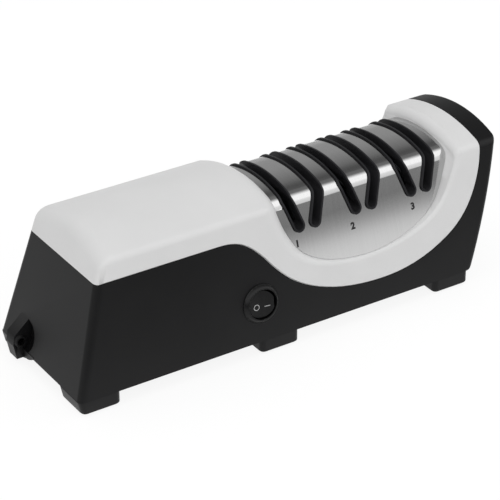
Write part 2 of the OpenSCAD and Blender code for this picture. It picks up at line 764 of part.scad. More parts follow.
module guide_panel() {
  color(STEEL) difference() {
    intersection() {
      panel_outline(0);
      panel_band(0, sheet);
    }
    all_slots(tip_r + guide_gap);
  }
}

// Rocker switch
barrel_wall = 0.8;
ring_r = rocker_hole_d / 2;
ring_w = bezel_d / 2 - ring_r;
// Profile of the bezel's ring as shares of its width and height
bezel_share = [[0, 0], [1, 0], [1, 0.18], [0.82, 0.48], [0.54, 0.8], [0.34, 0.96], [0.18, 1], [0, 0.9]];
pivot_z = -3;
pivot_r = 1;
module switch_bezel() {
  color(GLOSS) on_front(-switch_x, switch_z) difference() {
    union() {
      rotate_extrude() polygon([for (p = bezel_share) [ring_r + p[0] * ring_w, p[1] * bezel_h]]);
      translate([0, 0, -barrel_depth]) difference() {
        cylinder(h = barrel_depth, r = barrel_d / 2);
        translate([0, 0, barrel_wall * 2]) cylinder(h = barrel_depth, r = rocker_hole_d / 2);
      }
    }
    // Bearings for the rocker's pivots
    translate([0, 0, pivot_z]) rotate([90, 0, 0])
      cylinder(h = bezel_d + over * 2, r = pivot_r + run_gap, center = true, $fn = 32);
    // Slots for the terminals
    for (x = [-1, 1]) translate([x * terminal_x, 0, -barrel_depth - over])
      cube_mid(terminal_t + plate_gap, terminal_w + plate_gap, barrel_wall * 4 + over);
  }
}
terminal_x = 4.6;
terminal_t = 0.8;
terminal_w = 6.3;
terminal_l = 8;
module cube_mid(x, y, z) translate([-x / 2, -y / 2, 0]) cube([x, y, z]);
module switch_terminals() {
  color("#c9a24a") on_front(-switch_x, switch_z) for (x = [-1, 1])
    translate([x * terminal_x, 0, -barrel_depth - terminal_l]) {
      cube_mid(terminal_t, terminal_w, terminal_l + barrel_wall * 2);
      translate([0, 0, terminal_l + barrel_wall * 2]) cube_mid(terminal_t * 3, terminal_w, terminal_t);
    }
}
module switch_rocker() {
  r = rocker_d / 2;
  color(BLACK) on_front(-switch_x, switch_z)
    translate([0, 0, pivot_z]) rotate([0, -rocker_tilt / 2, 0]) translate([0, 0, -pivot_z]) {
    intersection() {
      translate([0, 0, -barrel_depth]) cylinder(h = barrel_depth * 2, r = r);
      along_y(rocker_d) polygon([
        [-r, pivot_z / 2], [-r, bezel_h * 0.4], [-r + bezel_h * 0.25, bezel_h * 0.75],
          [-r * 0.5, bezel_h * 0.55],
        [0, bezel_h * 0.42], [r * 0.5, bezel_h * 0.55], [r - bezel_h * 0.25, bezel_h * 0.75],
          [r, bezel_h * 0.4],
        [r, pivot_z / 2],
        [r * 0.35, pivot_z * 1.6], [-r * 0.35, pivot_z * 1.6]]);
    }
    translate([0, 0, pivot_z]) rotate([90, 0, 0])
      cylinder(h = barrel_d, r = pivot_r, center = true, $fn = 32);
  }
}

// Small parts under and beside the base
module cord_outlet_bush() {
  color(GLOSS) translate([-bush_x, hood_y, bush_z]) rotate([-90, 0, 0]) difference() {
    union() {
      cylinder(h = bush_l, r = bush_d / 2);
      translate([0, 0, -bush_flange])
        cylinder(h = bush_flange, r1 = bush_d * 0.42, r2 = bush_d / 2 + plate_gap);
    }
    translate([0, 0, -bush_flange - over]) cylinder(h = bush_l + bush_flange + over * 2, r = bush_bore / 2);
    translate([0, 0, bush_l / 2]) rotate([0, 90, 0]) cylinder(h = bush_d, r = bush_bore / 2);
  }
}
module foot_pads() {
  color("#3a3a3a") at_pads() cylinder(h = pad_t, r = pad_r, $fn = 40);
}
module bottom_plate() {
  color("#3c3c3e") difference() {
    block(plate_x0, -plate_hw, foot_h, plate_x1 - plate_x0, plate_hw * 2, plate_t);
    for (x = [plate_x0 + plate_screw_x, plate_x1 - plate_screw_x], y = [-plate_screw_y, plate_screw_y])
      translate([x, y, foot_h - over]) {
        cylinder(h = plate_t + over * 2, r = screw_r + run_gap, $fn = 24);
        cylinder(h = over + plate_t / 2, r = screw_head_r + plate_gap, $fn = 24);
      }
    // Louvres that let the motor breathe
    for (k = [0 : 5]) block(plate_x0 + plate_end * 1.5 + k * plate_end / 2, -plate_hw * 0.6, foot_h - over,
      plate_t, plate_hw * 1.2, plate_t + over * 2);
  }
}
screw_r = 1.4;
screw_head_r = 2.7;
module screw(l, head_h) {
  cylinder(h = head_h, r = screw_head_r, $fn = 24);
  cylinder(h = l, r = screw_r, $fn = 24);
}
module bottom_screws() {
  color("#8c8c8c") for (x = [plate_x0 + plate_screw_x, plate_x1 - plate_screw_x],
    y = [-plate_screw_y, plate_screw_y])
    translate([x, y, foot_h]) screw(floor_t - plate_gap, plate_t / 2);
}
cover_head_t = 2;
module cover_screws() {
  color("#8c8c8c") at_posts() translate([0, 0, foot_h + post_deep - cover_head_t])
    screw($top - foot_h - post_deep + boss_deep, cover_head_t);
}

// Motor
motor_x0 = -motor_x - motor_l;
bell_l = 5;
boss_l = 4;
magnet_l = motor_l * 0.7;
module motor_can() {
  color("#9a9ca0") difference() {
    union() {
      rod(motor_x0, motor_l, motor_r);
      rod(motor_x0 - boss_l, boss_l + can_t, shaft_r * 3);
    }
    rod(motor_x0 + can_t, motor_l, motor_r - can_t);
    rod(motor_x0 - boss_l - over, motor_l, shaft_r + run_gap);
    for (a = [0 : 60 : 300]) translate([motor_x0 - over, 0, axis_z]) rotate([a, 0, 0])
      translate([0, motor_r * 0.6, 0])
      rotate([0, 90, 0]) cylinder(h = can_t + over * 2, r = shaft_r * 1.4, $fn = 24);
  }
}
module motor_end_bell() {
  color("#2f3438") difference() {
    union() {
      rod(-motor_x, bell_l, motor_r);
      rod(-motor_x + bell_l, boss_l, shaft_r * 3);
    }
    rod(-motor_x - over, bell_l - can_t + over, motor_r - can_t * 2);
    rod(-motor_x - over, bell_l + boss_l + over * 2, shaft_r + run_gap);
  }
}
module motor_magnets() {
  r1 = motor_r - can_t;
  color("#4a4a4e") difference() {
    intersection() {
      rod(motor_x0 + can_t * 3, magnet_l, r1);
      for (s = [-1, 1]) block(motor_x0, s > 0 ? armature_r * 0.35 : -motor_r, axis_z - motor_r,
        motor_l, motor_r - armature_r * 0.35, motor_r * 2);
    }
    rod(motor_x0, motor_l, r1 - magnet_t);
  }
}
bracket_t = 6;
bracket_x = [motor_x0 + motor_l * 0.2, motor_x0 + motor_l * 0.72];
strap_w = 10;
strap_t = 1.2;
strap_x = motor_x0 + motor_l / 2 - strap_w / 2;
ear_l = 8;
module motor_bracket() {
  color(BLACK) difference() {
    union() {
      for (x = bracket_x)
        block(x, -motor_r * 0.85, inner_floor_z, bracket_t, motor_r * 1.7,
          axis_z - inner_floor_z - motor_r * 0.3);
      for (s = [-1, 1])
        block(strap_x, s > 0 ? motor_r : -motor_r - ear_l, inner_floor_z, strap_w, ear_l,
          axis_z - inner_floor_z - strap_t);
      block(bracket_x[0], -motor_r - ear_l, inner_floor_z,
        bracket_x[1] - bracket_x[0] + bracket_t, (motor_r + ear_l) * 2, plate_t);
    }
    rod(motor_x0 - motor_l, motor_l * 3, motor_r);
    for (s = [-1, 1]) translate([strap_x + strap_w / 2, s * (motor_r + strap_t + ear_l / 2),
      axis_z - boss_deep])
      cylinder(h = boss_deep, r = boss_pilot, $fn = 24);
  }
}
module motor_strap() {
  color("#b0b2b4") {
    difference() {
      rod(strap_x, strap_w, motor_r + strap_t);
      rod(strap_x - over, strap_w + over * 2, motor_r);
      block(strap_x - over, -width, 0, strap_w + over * 2, width * 2, axis_z - strap_t);
    }
    for (s = [-1, 1]) difference() {
      block(strap_x, s > 0 ? motor_r + strap_t * 0.6 : -motor_r - ear_l, axis_z - strap_t, strap_w,
        ear_l - strap_t * 0.6, strap_t);
      translate([strap_x + strap_w / 2, s * (motor_r + strap_t + ear_l / 2), axis_z - strap_t - over])
        cylinder(h = strap_t + over * 2, r = screw_r + run_gap, $fn = 24);
    }
  }
}
module motor_screws() {
  color("#8c8c8c") for (s = [-1, 1])
    translate([strap_x + strap_w / 2, s * (motor_r + strap_t + ear_l / 2), axis_z])
    mirror([0, 0, 1]) {
      cylinder(h = boss_deep * 0.8, r = screw_r, $fn = 24);
      translate([0, 0, -plate_t]) cylinder(h = plate_t, r = screw_head_r, $fn = 24);
    }
}
armature_l = magnet_l * 0.9;
armature_x = motor_x0 + can_t * 3 + magnet_l * 0.05;
comm_r = 8;
comm_l = 7;
comm_x = armature_x + armature_l + comm_l * 0.4;
fan_gap = 1.5;
fan_x = -motor_x + bell_l + boss_l + fan_gap;
fan_l = 8;
fan_r = armature_r * 0.95;
coupling_r = 6.5;
coupling_l = 14;
coupling_x = 20;
spindle_x = -coupling_x;
shaft_end = spindle_x;
module motor_armature() {
  color("#7a4a2a") difference() {
    rod(armature_x, armature_l, armature_r);
    rod(armature_x - over, armature_l + over * 2, shaft_r);
    for (a = [0 : 45 : 315]) translate([armature_x - over, 0, axis_z]) rotate([a, 0, 0])
      block(0, -shaft_r / 2, armature_r * 0.72, armature_l + over * 2, shaft_r, armature_r);
  }
}
module motor_shaft() {
  x0 = motor_x0 - boss_l;
  color("#c8c8ca") rod(x0, shaft_end - x0, shaft_r);
}
module commutator() {
  color("#b87333") difference() {
    rod(comm_x, comm_l, comm_r);
    rod(comm_x - over, comm_l + over * 2, shaft_r);
    for (a = [0 : 45 : 315]) translate([comm_x - over, 0, axis_z]) rotate([a + 22.5, 0, 0])
      block(0, -shaft_r / 8, comm_r * 0.85, comm_l + over * 2, shaft_r / 4, comm_r);
  }
}
brush_end = motor_r - can_t - plate_gap * 2;
module motor_brushes() {
  color("#303030") for (s = [0, 1]) translate([0, 0, axis_z]) rotate([180 * s, 0, 0]) difference() {
    block(comm_x + comm_l * 0.2, -comm_l * 0.3, comm_r * 0.8,
      comm_l * 0.6, comm_l * 0.6, brush_end - comm_r * 0.8);
    translate([0, 0, -axis_z]) rod(comm_x - over, comm_l + over * 2, comm_r + run_gap);
  }
}
module cooling_fan() {
  color("#3d3d40") difference() {
    union() {
      rod(fan_x, fan_l, shaft_r * 2.2);
      rod(fan_x, fan_l * 0.2, fan_r);
      for (a = [0 : 40 : 320]) translate([0, 0, axis_z]) rotate([a, 0, 0])
        block(fan_x, -shaft_r * 0.3, shaft_r * 1.5, fan_l, shaft_r * 0.6, fan_r - shaft_r * 1.5);
    }
    rod(fan_x - over, fan_l + over * 2, shaft_r);
  }
}
module shaft_coupling() {
  color("#4b4b4f") difference() {
    rod(shaft_end - coupling_l / 2, coupling_l, coupling_r);
    rod(shaft_end - coupling_l, coupling_l, shaft_r);
    rod(spindle_x, coupling_l, spindle_r);
    for (x = [-1, 1]) translate([shaft_end + x * coupling_l / 4, 0, axis_z])
      cylinder(h = coupling_r + over, r = screw_r * 0.7, $fn = 24);
  }
}

// Spindle and its bearings
bearing_l = 6;
bearing_r = 6;
left_bearing = 7;
left_bearing_x = -left_bearing;
right_bearing_x = 109;
block_hw = 10;
// The blocks stand on the floor on both sides of its opening
block_foot = plate_hw + plate_ledge / 2;
spindle_end = right_bearing_x + bearing_l;
module spindle() {
  color("#c8c8ca") difference() {
    rod(spindle_x, spindle_end - spindle_x, spindle_r);
    at_pins() cylinder(h = hub_r * 4, r = pin_r, center = true, $fn = 24);
  }
}
pin_at = disc_face + hub_l - pin_r;
pin_l = hub_r * 1.9;
module at_pins() {
  for (i = [0 : 2], s = [-1, 1]) translate([stage_mid(i) + s * pin_at, 0, axis_z]) children();
}
module drive_pins() {
  color("#d8d8da") at_pins() cylinder(h = pin_l, r = pin_r, center = true, $fn = 24);
}
module bearing_blocks() {
  color(BLACK) for (x = [left_bearing_x, right_bearing_x]) difference() {
    union() {
      block(x, -block_hw, inner_floor_z, bearing_l, block_hw * 2, axis_z - inner_floor_z);
      rod(x, bearing_l, block_hw);
      block(x - plate_t, -block_foot, inner_floor_z, bearing_l + plate_t * 2, block_foot * 2, plate_t);
    }
    rod(x - over, bearing_l + over * 2, bearing_r);
  }
}
module spindle_bearings() {
  color("#a8793c") for (x = [left_bearing_x, right_bearing_x]) difference() {
    rod(x, bearing_l, bearing_r);
    rod(x - over, bearing_l + over * 2, spindle_r + run_gap);
  }
}

// Sharpening discs and springs
pocket_deep = 1.4;
coil_r = 7;
wire_r = 0.6;
pocket_gap = 0.3;
module disc(i, s) {
  // The disc on side s of its stage, its abrasive face outward
  color("#8f9296") translate([stage_mid(i), 0, 0]) mirror([s < 0 ? 1 : 0, 0, 0]) difference() {
    union() {
      rod(disc_face - disc_t, disc_t, disc_r);
      rod(disc_face - disc_t, disc_t + hub_l, hub_r);
    }
    rod(disc_face - disc_t - over, disc_t + hub_l + over * 2, spindle_r + run_gap);
    // Seat of the spring
    difference() {
      rod(disc_face - disc_t - over, pocket_deep + over, coil_r + wire_r + pocket_gap);
      rod(disc_face - disc_t - over * 2, pocket_deep + over * 4, coil_r - wire_r - pocket_gap);
    }
    // Groove for the drive pin, and grooves in the abrasive face
    block(pin_at - pin_r - run_gap, -pin_r - run_gap, axis_z - hub_r - over, hub_l,
      (pin_r + run_gap) * 2, (hub_r + over) * 2);
    for (a = [0 : 30 : 330]) translate([0, 0, axis_z]) rotate([a, 0, 0])
      block(disc_face - disc_t * 0.15, -pin_r / 3, hub_r * 1.4, disc_t, pin_r * 2 / 3, disc_r);
  }
}
coil_turns = 3;
coil_sides = 6;
coil_rings = 12;
spring_half = disc_face - disc_t + pocket_deep - wire_r;
module disc_spring(i) {
  n = coil_turns * coil_rings;
  points = [for (k = [0 : n], j = [0 : coil_sides - 1])
    let (a = 360 * k / coil_rings, b = 360 * j / coil_sides, r = coil_r + wire_r * cos(b))
    [-spring_half + spring_half * 2 * k / n + wire_r * sin(b), r * sin(a), r * cos(a)]];
  m = coil_sides;
  color("#b9bbbd") translate([stage_mid(i), 0, axis_z]) polyhedron(points = points, faces = concat(
    [for (k = [0 : n - 1], j = [0 : m - 1]) let (a = k * m + j, b = k * m + (j + 1) % m)
      each [[a, b, b + m], [a, b + m, a + m]]],
    [for (j = [1 : m - 2]) [0, j + 1, j]],
    [for (j = [1 : m - 2]) [n * m, n * m + j, n * m + j + 1]]), convexity = 8);
}

// Magnet and board
magnet_x = 20;
filings_l = 56;
filings_w = 12;
filings_t = 3;
module filings_magnet() {
  color("#55565a") block(magnet_x, -filings_w / 2, foot_h + plate_t, filings_l, filings_w, filings_t);
}
board_end = 122;
board_x = -board_end;
board_t = 1.6;
board_hw = 18;
board_h = 38;
module rectifier_board() {
  color("#3f6b45") {
    block(board_x, -board_hw, inner_floor_z, board_t, board_hw * 2, board_h);
    block(board_x + board_t, -board_hw * 0.8, inner_floor_z + board_h * 0.55, board_t * 2.5,
      board_hw * 0.8, board_h * 0.3);
    block(board_x + board_t, -board_hw * 0.8, inner_floor_z + board_h * 0.1, board_t * 4, board_hw * 0.9,
      board_h * 0.25);
  }
}
cap_r = 5;
cap_l = 18;
module capacitor() {
  color("#2b4a7a") translate([board_x + board_t + cap_r, board_hw * 0.5, inner_floor_z + board_h * 0.1])
    cylinder(h = cap_l, r = cap_r);
}

base_shell();
top_cover();
guide_panel();
slot_guide(0, -1);  // slot_guide_1a
slot_guide(0, 1);  // slot_guide_1b
slot_guide(1, -1);  // slot_guide_2a
slot_guide(1, 1);  // slot_guide_2b
slot_guide(2, -1);  // slot_guide_3a
slot_guide(2, 1);  // slot_guide_3b
switch_bezel();
switch_rocker();
switch_terminals();
cord_outlet_bush();
bottom_plate();
bottom_screws();
cover_screws();
foot_pads();
motor_can();
motor_end_bell();
motor_magnets();
motor_bracket();
motor_strap();
motor_screws();
motor_armature();
motor_shaft();
commutator();
motor_brushes();
cooling_fan();
shaft_coupling();
spindle();
drive_pins();
bearing_blocks();
spindle_bearings();
disc(0, -1);  // disc_1a
disc(0, 1);  // disc_1b
disc(1, -1);  // disc_2a
disc(1, 1);  // disc_2b
disc(2, -1);  // disc_3a
disc(2, 1);  // disc_3b
disc_spring(0);  // disc_spring_1
disc_spring(1);  // disc_spring_2
disc_spring(2);  // disc_spring_3
filings_magnet();
rectifier_board();
capacitor();
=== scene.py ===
# %% [markdown]
# # An electric knife sharpener, dressed for a studio picture
# The solids come from the CAD frame, which is already in metres and in its final place.
# This notebook gives each of them the surface of the real product, adds the printed marks,
# and sets up the camera, the floor and the lights.

# %% Load the frame
from math import radians, sin, cos, tan, asin, atan2, sqrt, hypot, pi
import bpy
from mathutils import Vector, Matrix


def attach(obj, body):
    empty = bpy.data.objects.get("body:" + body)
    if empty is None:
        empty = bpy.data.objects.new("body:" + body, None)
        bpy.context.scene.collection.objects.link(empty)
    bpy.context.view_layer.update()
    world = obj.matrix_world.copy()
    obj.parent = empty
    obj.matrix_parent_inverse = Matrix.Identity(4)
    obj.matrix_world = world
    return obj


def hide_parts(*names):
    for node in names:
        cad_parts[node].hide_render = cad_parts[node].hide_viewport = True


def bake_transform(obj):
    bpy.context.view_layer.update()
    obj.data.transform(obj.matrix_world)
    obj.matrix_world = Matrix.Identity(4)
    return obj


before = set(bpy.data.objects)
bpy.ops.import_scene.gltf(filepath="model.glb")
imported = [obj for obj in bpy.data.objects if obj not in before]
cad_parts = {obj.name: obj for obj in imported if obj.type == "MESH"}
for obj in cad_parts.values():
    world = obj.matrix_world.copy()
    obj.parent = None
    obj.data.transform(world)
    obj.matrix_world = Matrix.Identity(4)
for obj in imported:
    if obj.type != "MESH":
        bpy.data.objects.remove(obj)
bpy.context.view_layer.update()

MM = 0.001

# %% [markdown]
# ## Colours and node graphs
# Moulders and printers name colours by their sRGB hex value, but Blender's shaders work in
# linear light. One function turns the first into the second. A second function adds a node
# with its settings and its links, so that each finish below reads as a short list.

# %% Colour and node helpers
def linear(hex_colour):
    channels = [int(hex_colour[i:i + 2], 16) / 255 for i in (1, 3, 5)]
    return tuple(c / 12.92 if c <= 0.04045 else ((c + 0.055) / 1.055) ** 2.4 for c in channels) + (1.0,)


def add(tree, kind, settings=None, inputs=None):
    """A node of that kind. A value in inputs is a constant, or a socket to link from."""
    node = tree.nodes.new(kind)
    for name, value in (settings or {}).items():
        setattr(node, name, value)
    for name, value in (inputs or {}).items():
        if isinstance(value, bpy.types.NodeSocket):
            tree.links.new(value, node.inputs[name])
        else:
            node.inputs[name].default_value = value
    return node


def finish_of(name, **constants):
    """A new material with a Principled shader, and the shader."""
    material = bpy.data.materials.new(name)
    material.use_nodes = True
    shader = material.node_tree.nodes["Principled BSDF"]
    for socket, value in constants.items():
        shader.inputs[socket.replace("_", " ")].default_value = value
    return material, material.node_tree, shader


print("mid grey in linear light:", [round(c, 3) for c in linear("#808080")])

# %% [markdown]
# ## Moulded ABS and its kin
# The housing is injection-moulded ABS. The black base comes from a mould with a fine
# spark-eroded texture, a little under half a millimetre across, which breaks up its
# reflections. The white cover comes from a smoother mould, so it keeps a soft sheen. A picture
# of the texture could be wrapped round each piece, but noise in Object coordinates needs no
# unwrapping and doesn't slide when the view turns. It gives each plastic a slight cloudiness
# of colour and a fine bump. Carbon black in a textured part scatters most of what plain ABS
# would mirror, so the blacks get a lower specular level than the white.

# %% Plastics
cloud_mm, cloud_span = 25, (0.3, 0.7)   # size of the cloudiness, and the noise it is drawn from
plastic_ior, sheen_swing = 1.54, 0.03


def moulded_plastic(name, low, high, roughness, grain_mm, grain_depth, level=0.5):
    material, tree, shader = finish_of(name, IOR=plastic_ior, Specular_IOR_Level=level)
    place = add(tree, "ShaderNodeTexCoord").outputs["Object"]
    cloud = add(tree, "ShaderNodeTexNoise", inputs={
        "Vector": place, "Scale": 1 / (cloud_mm * MM), "Detail": 3.0}).outputs["Fac"]
    tint = add(tree, "ShaderNodeValToRGB", inputs={"Fac": cloud})
    for element, position, colour in zip(tint.color_ramp.elements, cloud_span, (low, high)):
        element.position, element.color = position, linear(colour)
    tree.links.new(tint.outputs["Color"], shader.inputs["Base Color"])
    grain = add(tree, "ShaderNodeTexNoise", inputs={
        "Vector": place, "Scale": 1 / (grain_mm * MM), "Detail": 2.0}).outputs["Fac"]
    sheen = add(tree, "ShaderNodeMapRange", inputs={
        "Value": cloud, "To Min": roughness - sheen_swing, "To Max": roughness + sheen_swing})
    tree.links.new(sheen.outputs["Result"], shader.inputs["Roughness"])
    bump = add(tree, "ShaderNodeBump", inputs={
        "Height": grain, "Strength": 0.5, "Distance": grain_depth * MM})
    tree.links.new(bump.outputs["Normal"], shader.inputs["Normal"])
    return material


# Each line gives the darker and the lighter colour, the roughness, and the grain's width and
# depth in millimetres. The comment says what the finish gives the eye.
abs_white = moulded_plastic(    # a bright, even shell with a broad soft sheen
    "ABS_moulded_satin_white", "#D7D7D7", "#DADADA", 0.45, 0.8, 0.003)
abs_black = moulded_plastic(    # a deep matt black whose reflections are broken up
    "ABS_moulded_textured_black", "#0F0F10", "#121213", 0.45, 0.45, 0.012, level=0.2)
abs_gloss = moulded_plastic(    # the smoother ring of the switch, with a tighter highlight
    "ABS_moulded_gloss_black", "#0B0B0C", "#0E0E0F", 0.3, 1.5, 0.003, level=0.22)
# The guides' black is lighter than the base's: painted fill light for the deep slots, which get little
# light.
abs_guide_painted_fill = moulded_plastic(    # guides worn dull by blades, their black lightened as painted fill light for the dim slots
    "ABS_moulded_slot_guide_painted_fill", "#262628", "#2A2A2C", 0.35, 1.5, 0.003, level=0.08)
abs_satin = moulded_plastic(    # the rocker, between matt and gloss
    "ABS_moulded_satin_black", "#0C0C0D", "#0F0F10", 0.38, 0.6, 0.01, level=0.22)
nylon_grey = moulded_plastic(   # filled nylon, a dry charcoal
    "Nylon_moulded_charcoal", "#2C2C2E", "#343437", 0.55, 0.5, 0.02)
rubber_pad = moulded_plastic(   # rubber, with hardly any shine
    "Rubber_moulded_pad", "#2E2E2E", "#363636", 0.8, 0.4, 0.03)
laminate = moulded_plastic(     # glass-fibre board under a green varnish
    "Laminate_board_green", "#2F5A38", "#38663F", 0.5, 0.6, 0.01)
film_blue = moulded_plastic(    # the dipped lacquer of a film capacitor
    "Film_capacitor_blue", "#24406E", "#2B4A7A", 0.3, 1.0, 0.005)
ferrite = moulded_plastic(      # sintered and powdery, darker than any metal
    "Ferrite_sintered", "#3B3B3E", "#45454A", 0.7, 0.3, 0.02)
print("plastics:", [m.name for m in bpy.data.materials if "_moulded_" in m.name])

# %% [markdown]
# ## Metals
# The guide panel is stainless sheet with a linear brushed finish: the belt leaves fine
# scratches that run over the arch from front to back. An anisotropic shader would blur the
# reflections across them, but shows no single scratch. A noise that is squeezed along X and
# stretched along the strokes draws them, in the colour, the roughness and the bump. Real
# strokes are finer than a picture can hold, so they are drawn about 0.3 mm apart.

# %% Brushed and turned metal
stroke_span, stroke_run_mm = (0.3, 0.7), 60   # the noise used, and the length of a stroke


def stroked_metal(name, low, high, roughness, spread, stroke_mm, depth, across="X"):
    material, tree, shader = finish_of(name, Metallic=1.0)
    place = add(tree, "ShaderNodeTexCoord").outputs["Object"]
    scale = [1 / (stroke_run_mm * MM)] * 3
    scale["XYZ".index(across)] = 1 / (stroke_mm * MM)
    stretched = add(tree, "ShaderNodeMapping", inputs={"Vector": place, "Scale": scale}).outputs["Vector"]
    strokes = add(tree, "ShaderNodeTexNoise", inputs={
        "Vector": stretched, "Scale": 1.0, "Detail": 4.0, "Roughness": 0.7}).outputs["Fac"]
    tint = add(tree, "ShaderNodeValToRGB", inputs={"Fac": strokes})
    for element, position, colour in zip(tint.color_ramp.elements, stroke_span, (low, high)):
        element.position, element.color = position, linear(colour)
    tree.links.new(tint.outputs["Color"], shader.inputs["Base Color"])
    sheen = add(tree, "ShaderNodeMapRange", inputs={
        "Value": strokes, "From Min": stroke_span[0], "From Max": stroke_span[1],
        "To Min": roughness - spread, "To Max": roughness + spread})
    tree.links.new(sheen.outputs["Result"], shader.inputs["Roughness"])
    bump = add(tree, "ShaderNodeBump", inputs={
        "Height": strokes, "Strength": 0.4, "Distance": depth * MM})
    tree.links.new(bump.outputs["Normal"], shader.inputs["Normal"])
    return material


# Two colours, the roughness and its spread, and the width and depth of a stroke in millimetres.
steel_brushed = stroked_metal(   # mirrors the studio, drawn out a little, with faint strokes
    "Stainless_sheet_brushed", "#C2C2C2", "#C9C9C9", 0.12, 0.014, 0.3, 0.0008)
steel_turned = stroked_metal(    # bright, with the rings that a lathe leaves
    "Steel_turned", "#B8B8BA", "#C6C6C8", 0.25, 0.05, 0.5, 0.005)
steel_plated = stroked_metal(    # zinc plate, greyer and softer than bare steel
    "Steel_zinc_plated", "#8E9094", "#A2A4A8", 0.35, 0.05, 0.8, 0.005)
abrasive = stroked_metal(        # bonded grit, which scatters nearly all light
    "Steel_disc_bonded_abrasive", "#6E7074", "#868A8E", 0.6, 0.1, 0.25, 0.05, across="Y")
brass = stroked_metal(           # stamped contacts, yellow and clean
    "Brass_stamped", "#A88A4A", "#C0A05A", 0.3, 0.05, 0.6, 0.005)
bronze = stroked_metal(          # porous bearing metal, brown and dull
    "Bronze_sintered", "#8A6434", "#A0783E", 0.45, 0.05, 0.4, 0.02)
copper = stroked_metal(          # wire under a clear brown enamel
    "Copper_enamelled_winding", "#7A4424", "#94562E", 0.35, 0.05, 0.5, 0.1)
print("materials in all:", len(bpy.data.materials))

# %% [markdown]
# ## Dressing the solids
# A CAD solid arrives as loose flat triangles. A copy of it is welded first, so that
# neighbouring faces share their points. Then faces that meet at a small angle are shaded as
# one smooth surface, and the Weighted Normal modifier lets the large faces win, which
# keeps flat walls flat right up to their roundings. The steel and the cover go without it,
# because they are curved all over. The copy takes the place of its solid.

# %% Copy, weld and smooth
weld, flat_within, smooth_within, face_weight = 0.002 * MM, radians(0.2), radians(35), 60


def only(obj):
    bpy.ops.object.select_all(action="DESELECT")
    obj.select_set(True)
    bpy.context.view_layer.objects.active = obj


def dress(node, body, material, flat_wins=True):
    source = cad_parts[node]
    piece = bpy.data.objects.new("skin_" + node, source.data.copy())
    bpy.context.collection.objects.link(piece)
    only(piece)
    bpy.ops.object.mode_set(mode="EDIT")
    bpy.ops.mesh.select_all(action="SELECT")
    bpy.ops.mesh.remove_doubles(threshold=weld)
    bpy.ops.mesh.dissolve_limited(angle_limit=flat_within)
    bpy.ops.object.mode_set(mode="OBJECT")
    bpy.ops.object.shade_smooth_by_angle(angle=smooth_within)
    if flat_wins:
        even = piece.modifiers.new("even normals", "WEIGHTED_NORMAL")
        even.keep_sharp, even.weight = True, face_weight
        bpy.ops.object.modifier_apply(modifier=even.name)
    piece.data.materials.clear()
    piece.data.materials.append(material)
    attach(piece, body)
    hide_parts(node)
    print(node, len(piece.data.polygons), "faces")


shells = {
    "base_shell": ("black_body", abs_black),
    "top_cover": ("white_cover", abs_white),
    "guide_panel": ("brushed_steel", steel_brushed),
    "switch_bezel": ("black_gloss", abs_gloss),
    "cord_outlet_bush": ("black_rocker", abs_black),
}
for node, (slot, material) in shells.items():
    dress(node, "housing", material, flat_wins=node not in ("guide_panel", "top_cover"))
for node in [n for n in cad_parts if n.startswith("slot_guide")]:
    dress(node, "housing", abs_guide_painted_fill)
dress("switch_rocker", "rocker", abs_satin)

# %% [markdown]
# ## Exact shading of the arches
# A sheen shows every facet. More facets would make the file heavy and only hide the fault.
# The sections of the two arched pieces are known, though: the cover is a wide arc, a shoulder
# and a drafted wall, and the steel an arc, a tight bend, a leaning plane and a wide flare. So
# each corner of their outer faces gets the direction that the true curve has there, in place
# of an average over its facets.

# %% The section of the housing, in millimetres
draft, half_width, feet_top = radians(7.8), 46.2, 8.4
wall_at = lambda z: half_width - (z - feet_top) * tan(draft)
turned = lambda side, angle: Vector((0, side * cos(angle), sin(angle)))


def tangent_arc(big_r, big_z, small_r, slope, plane_at):
    """The centre of the arc that rounds a plane of that slope into an arch about (0, big_z)."""
    along = plane_at - small_r - sin(slope) * big_z
    across = sqrt((big_r - small_r) ** 2 - along ** 2)
    return along * cos(slope) - across * sin(slope), big_z + along * sin(slope) + across * cos(slope)


print("half width at the crown:", round(wall_at(91.0), 2), "mm")

# %% Directions on the steel
lean, arch_r, bend_r, flare_r, flare_top = radians(17), 74.0, 9.5, 271.0, 66.3
crest_z, steel_inset = 85.5, 7.7
arch_z, top_y = crest_z - arch_r, wall_at(flare_top) - steel_inset
flare_y, flare_z = top_y + cos(lean) * flare_r, flare_top + sin(lean) * flare_r
bend_y, bend_z = tangent_arc(arch_r, arch_z, bend_r, lean, cos(lean) * top_y + sin(lean) * flare_top)


def steel_direction(y, z):
    side, out = (-1 if y < 0 else 1), abs(y)
    if z < flare_top:
        return turned(side, asin((flare_z - z) / flare_r))
    angle = max(lean, atan2(z - bend_z, out - bend_y))
    if angle > atan2(bend_z - arch_z, bend_y):
        angle = atan2(z - arch_z, out)
    return turned(side, angle)


print("centre of the bend:", round(bend_y, 2), round(bend_z, 2), "mm")

# %% Directions on the cover
crown_top, crown_r, shoulder_r = 91.0, 94.0, 5.5
crown_z = crown_top - crown_r
wall_plane = cos(draft) * half_width + sin(draft) * feet_top
shoulder_y, shoulder_z = tangent_arc(crown_r, crown_z, shoulder_r, draft, wall_plane)
# How near a corner lies to an arc or to the wall to count as on it. The wall's is the smaller,
# because the upright corners start to round right beside it.
near_arc, near_wall = 0.04, 0.012


def cover_direction(y, z):
    side, out = (-1 if y < 0 else 1), abs(y)
    if abs(hypot(out, z - crown_z) - crown_r) < near_arc:
        return turned(side, atan2(z - crown_z, out))
    if abs(out - wall_at(z)) < near_wall:
        return turned(side, draft)
    if abs(hypot(out - shoulder_y, z - shoulder_z) - shoulder_r) < near_arc:
        return turned(side, atan2(z - shoulder_z, out - shoulder_y))
    return None


print("centre of the shoulder:", round(shoulder_y, 2), round(shoulder_z, 2), "mm")

